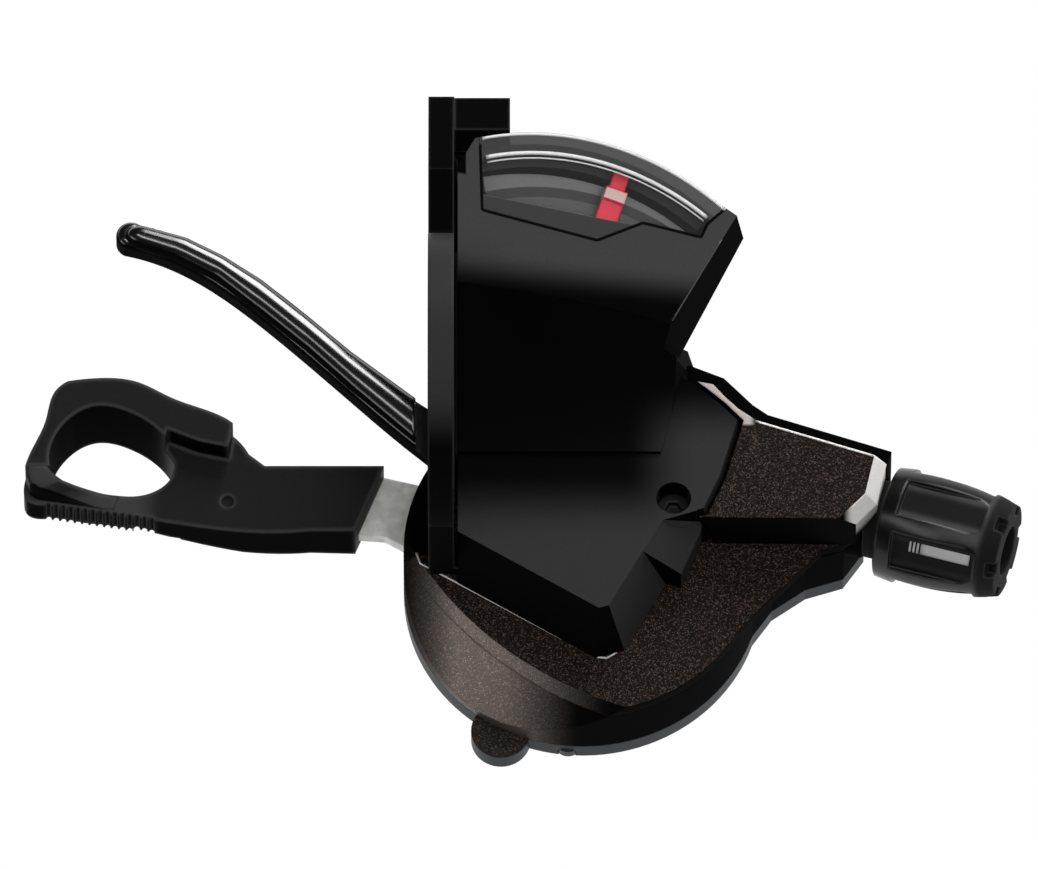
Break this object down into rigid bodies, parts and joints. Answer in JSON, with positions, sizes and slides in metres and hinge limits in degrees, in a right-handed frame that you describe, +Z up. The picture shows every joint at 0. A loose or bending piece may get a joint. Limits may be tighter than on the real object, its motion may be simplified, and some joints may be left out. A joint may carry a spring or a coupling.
{
  "type": "trigger gear shifter",
  "caption": "Left-hand trigger gear shifter for a handlebar: split clamp band, gear display with needle, thumb lever, release lever and cable adjuster.",
  "frame": {"origin": "on the handlebar's axis, in the middle of the clamp band's width", "axes": "+X along the handlebar towards the stem, +Y forward, +Z up along the main axle"},
  "size_m": [0.1003, 0.0612, 0.0434],
  "materials": {
    "band": "satin black",
    "cover": "satin black",
    "lens": "clear",
    "dial": "dark grey",
    "needle": "red",
    "top_case": "dark speckled paint",
    "frame": "gunmetal satin",
    "floor": "dark blue grey",
    "lever_pad": "fine grain black",
    "lever_steel": "zinc plated",
    "release": "gloss black",
    "knob": "semi-gloss black",
    "steel": "plain",
    "dark_screw": "black oxide",
    "drum": "moulded grey"
  },
  "bodies": {
    "housing": {"clamp_band": "band", "clamp_bolt": "dark_screw", "foot_screw": "dark_screw", "top_case": "top_case", "base_frame": "frame", "bottom_cover": "floor", "case_screws": "dark_screw", "main_axle": "steel", "axle_clip": "steel", "display_cover": "cover", "display_lens": "lens", "display_dial": "dial", "display_base": "cover", "cover_screw": "dark_screw", "needle_pin": "steel", "drum_spring": "steel", "lever_spring": "steel", "hold_pawl_pin": "steel", "cable_cap": "knob"},
    "main_lever": {"main_lever_arm": "lever_steel", "main_lever_pad": "lever_pad", "drive_pawl_pin": "steel"},
    "release_lever": {"release_lever": "release"},
    "drum": {"cable_drum": "drum", "ratchet_plate": "steel", "indicator_pin": "steel"},
    "needle": {"display_needle": "needle"},
    "carrier": {"detent_ring": "knob"},
    "adjuster": {"adjuster_knob": "knob", "adjuster_bolt": "steel"},
    "drive_pawl": {"drive_pawl": "steel"},
    "hold_pawl": {"hold_pawl": "steel"}
  },
  "joints": [
    {"name": "main_lever_push", "type": "hinge", "parent": "housing", "child": "main_lever", "pos_m": [0.0142, -0.0102, -0.025], "axis": [0, 0, -1], "range_deg": [0, 30], "stiffness_Nm_per_rad": 0.08, "springref_deg": -14.32},
    {"name": "release_lever_flick", "type": "hinge", "parent": "housing", "child": "release_lever", "pos_m": [0.0142, -0.0102, -0.017], "axis": [0, 0, 1], "range_deg": [-8, 8], "stiffness_Nm_per_rad": 0.1},
    {"name": "drum_index", "type": "hinge", "parent": "housing", "child": "drum", "pos_m": [0.0142, -0.0102, -0.0215], "axis": [0, 0, 1], "range_deg": [-30, 30]},
    {"name": "needle_swing", "type": "hinge", "parent": "housing", "child": "needle", "pos_m": [0.00776, 0.0002, -0.01473], "axis": [0.203, -0.3669, 0.9078], "range_deg": [-9.2, 9.2]},
    {"name": "adjuster_travel", "type": "slide", "parent": "housing", "child": "carrier", "axis": [0.9494, -0.3019, 0.0868], "range_m": [0, 0.003]},
    {"name": "adjuster_turn", "type": "hinge", "parent": "carrier", "child": "adjuster", "pos_m": [0.04497, -0.00655, -0.01904], "axis": [0.9494, -0.3019, 0.0868], "range_deg": [0, 1080]},
    {"name": "drive_pawl_lift", "type": "hinge", "parent": "main_lever", "child": "drive_pawl", "pos_m": [0.01844, 0.00145, -0.0236], "axis": [0, 0, -1], "range_deg": [0, 8], "stiffness_Nm_per_rad": 0.002, "springref_deg": -17.19},
    {"name": "hold_pawl_lift", "type": "hinge", "parent": "housing", "child": "hold_pawl", "pos_m": [0.02131, -0.02036, -0.0236], "axis": [0, 0, -1], "range_deg": [0, 8], "stiffness_Nm_per_rad": 0.002, "springref_deg": -17.19}
  ],
  "couplings": [
    {"joint": "needle_swing", "follows": "drum_index", "ratio": 0.2985},
    {"joint": "adjuster_turn", "follows": "adjuster_travel", "rad_per_m": 6283.2}
  ]
}
